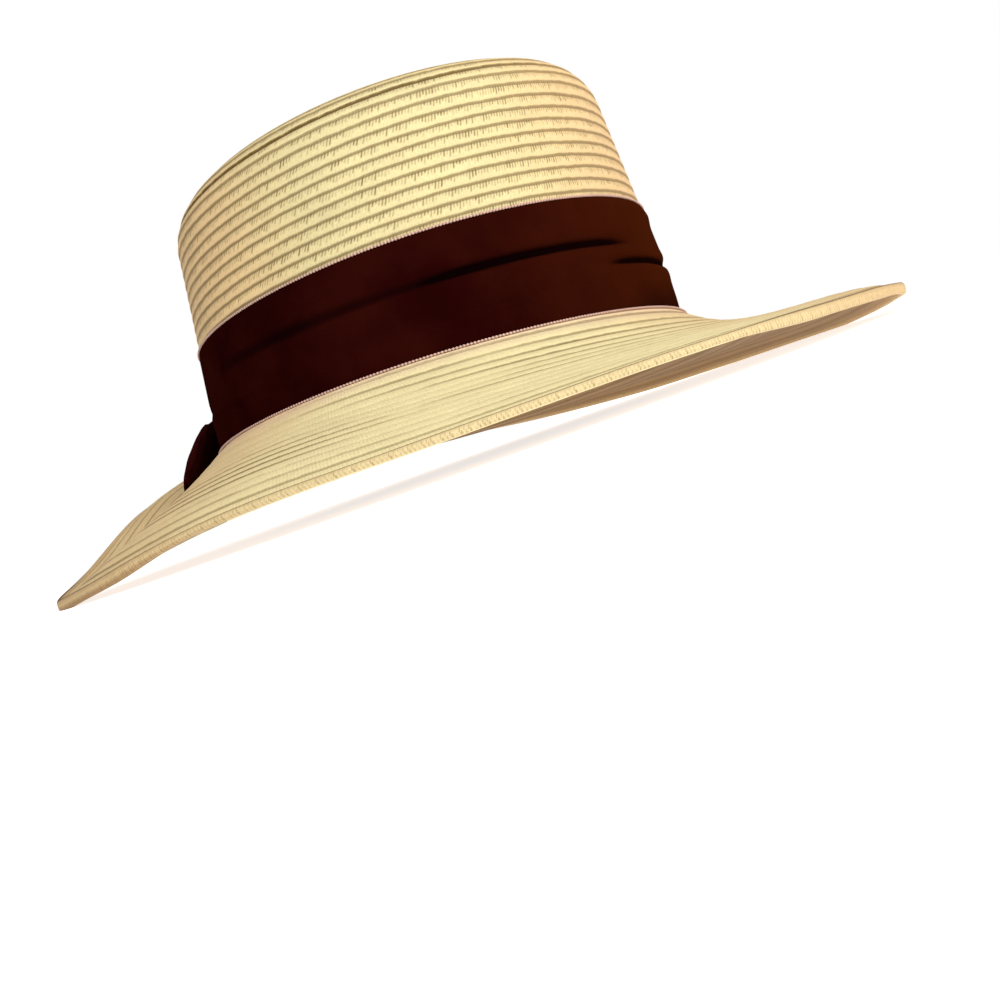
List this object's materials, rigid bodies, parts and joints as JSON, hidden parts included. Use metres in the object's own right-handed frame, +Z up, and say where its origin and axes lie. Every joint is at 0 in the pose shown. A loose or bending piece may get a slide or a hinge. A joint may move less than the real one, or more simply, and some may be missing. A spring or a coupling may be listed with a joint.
{
  "type": "sun hat",
  "caption": "Braided straw sun hat with a rounded flat-topped crown, a wavy sloping brim with a thicker edge braid, a dark gathered cloth band and a side bow.",
  "frame": {"origin": "on the surface the hat rests on, under the middle of its bounding box", "axes": "+Z up, with the crown on top; -Y towards the hat's front; +X towards the wearer's left. The bow is on -X."},
  "size_m": [0.3101, 0.3431, 0.1245],
  "materials": {
    "straw": "pale natural straw braid sewn in rows, low sheen",
    "straw_edge": "thicker straw braid with slanted strands, low sheen",
    "band_cloth": "matte dark maroon-brown cloth with soft folds",
    "bow_cloth": "matte dark maroon-brown cloth"
  },
  "bodies": {
    "root": {"crown": "straw", "brim": "straw", "brim_hem": "straw_edge", "hat_band": "band_cloth", "bow_knot": "bow_cloth", "bow_loop_front": "bow_cloth", "bow_loop_back": "bow_cloth"}
  },
  "joints": []
}
